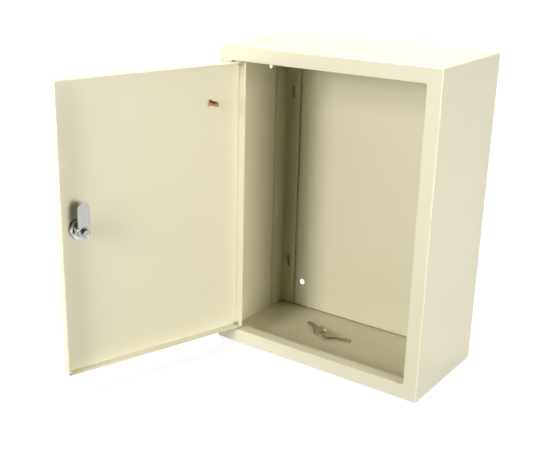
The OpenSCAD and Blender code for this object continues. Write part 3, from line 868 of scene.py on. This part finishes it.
bpy.ops.object.select_all(action="DESELECT")
bpy.ops.mesh.primitive_circle_add(vertices=16, radius=WIRE * MM, location=(RING * MM, 0, 0),
                                  rotation=(math.radians(90), 0, 0), fill_type="NGON")
wire_ring = named("wire_ring")
with shaping(wire_ring):
    bpy.ops.mesh.select_all(action="SELECT")
    bpy.ops.mesh.spin(steps=72, angle=math.radians(360 - RING_OPEN_ANGLE), center=(0, 0, 0),
                      axis=(0, 0, 1))
    bpy.ops.mesh.select_all(action="SELECT")
    bpy.ops.mesh.remove_doubles(threshold=RING_MERGE * MM)
    bpy.ops.mesh.normals_make_consistent(inside=False)
put(wire_ring, (Matrix.Translation(cabinet(RING_ACROSS, RING_BACK, RING_UP))
                @ Matrix.Rotation(math.radians(RING_TURN), 4, "Z")
                @ Matrix.Rotation(math.radians(90), 4, "X")
                @ Matrix.Rotation(math.radians(RING_ROLL), 4, "Z")))
break_edges(wire_ring, WIRE_EASE)
fit(wire_ring, "ring", "steel_wire", spring_wire, "key_ring")


# Keys. A pair of flat keys, stamped from nickel-plated brass: a round bow with a sunk
# middle and a hole for the ring, and a grooved blade with cuts along both of its edges.
BOW, BOW_RIM, BOW_SLOPE, BOW_SUNK = 9.0, 1.5, 0.25, 0.2
BOW_MIDDLE = 5.0
KEY_HOLE = 2.2
KEY_THICK, KEY_LONG, KEY_EASE = 2.0, 38.0, 0.12
BLADE_START, BLADE_WIDE, BLADE_THICK, BLADE_TIP = 12, 7.0, 1.8, 0.8
GROOVE_START, GROOVE_WIDE, GROOVE_ASIDE = 15, 1.8, 0.5
GROOVE_LEVEL, GROOVE_CUTTER = 0.95, 0.8
CUTS = ((34.5, 0.62), (30.9, 0.45), (27.3, 0.64), (23.7, 0.3), (20.1, 0.55))
CUT_TALL = 4
KEY_RISE = 2.4
TILT = math.asin(KEY_RISE / KEY_LONG)
FIRST_DIRECTION, SECOND_DIRECTION = 150, 12.5
NICKEL_DARK, NICKEL_PALE = (0.34, 0.28, 0.19, 1), (0.54, 0.46, 0.33, 1)

nickel = Finish("key_nickel", Metallic=1.0)
worn = nickel.noise(scale=210, detail=4)
nickel.feed(nickel.shader, {
    "Base Color": nickel.mix(nickel.ramp(worn, (0.40, 0), (0.68, 1)), NICKEL_DARK, NICKEL_PALE),
    "Roughness": worn.between(0.22, 0.47),
    "Normal": nickel.bump(nickel.noise(scale=1300, detail=3), distance=0.00002, strength=0.5),
})

bpy.ops.object.select_all(action="DESELECT")
bpy.ops.mesh.primitive_cylinder_add(vertices=56, radius=BOW * MM, depth=KEY_THICK * MM,
                                    location=(BOW_MIDDLE * MM, 0, 0))
flat_key = named("flat_key")
with shaping(flat_key):
    pick("FACE", lambda middle, normal: abs(normal.z) > FACING)
    bpy.ops.mesh.inset(thickness=BOW_RIM * MM, depth=0)
    bpy.ops.mesh.inset(thickness=BOW_SLOPE * MM, depth=-BOW_SUNK * MM)
blade = block("blade", Vector((BLADE_START, -BLADE_WIDE / 2, -BLADE_THICK / 2)) * MM,
              Vector((KEY_LONG, BLADE_WIDE / 2, BLADE_THICK / 2)) * MM)
with shaping(blade):
    pick("EDGE", lambda middle, run: abs(run.z) > FACING and middle.x > (KEY_LONG - NEAR) * MM)
    bpy.ops.mesh.bevel(offset=(BLADE_WIDE - BLADE_TIP) / 2 * MM, segments=8, affect="EDGES")
for side in (-1, 1):
    groove = Vector((GROOVE_START, side * GROOVE_ASIDE, side * GROOVE_LEVEL)) * MM
    reach = Vector((KEY_LONG + OVERSHOOT - GROOVE_START, 0, 0)) * MM
    half = Vector((0, GROOVE_WIDE / 2, GROOVE_CUTTER / 2)) * MM
    cut(blade, block("groove", groove - half, groove + reach + half))
    for along, deep in CUTS:
        bpy.ops.object.select_all(action="DESELECT")
        bpy.ops.mesh.primitive_cylinder_add(
            vertices=4, radius=deep * MM, depth=CUT_TALL * MM,
            location=(along * MM, side * BLADE_WIDE / 2 * MM, 0))
        cut(blade, named("notch"))
cut(flat_key, blade, operation="UNION")
drill(flat_key, Vector((0, 0, 0)), (0, 0, 1), KEY_HOLE, depth=5)
break_edges(flat_key, KEY_EASE)

for name, joint, direction, node, body in (
        ("first_flat_key", "key_a_swing", FIRST_DIRECTION, "key_a", "first_key"),
        ("second_flat_key", "key_b_swing", SECOND_DIRECTION, "key_b", "second_key")):
    key = twin(flat_key, name)
    put(key, (Matrix.Translation(Vector(joints[joint]["pos_m"]))
              @ Matrix.Rotation(math.radians(direction), 4, "Z")
              @ Matrix.Rotation(TILT, 4, "Y")))
    fit(key, body, "key_nickel", nickel, node)
bpy.data.objects.remove(flat_key)
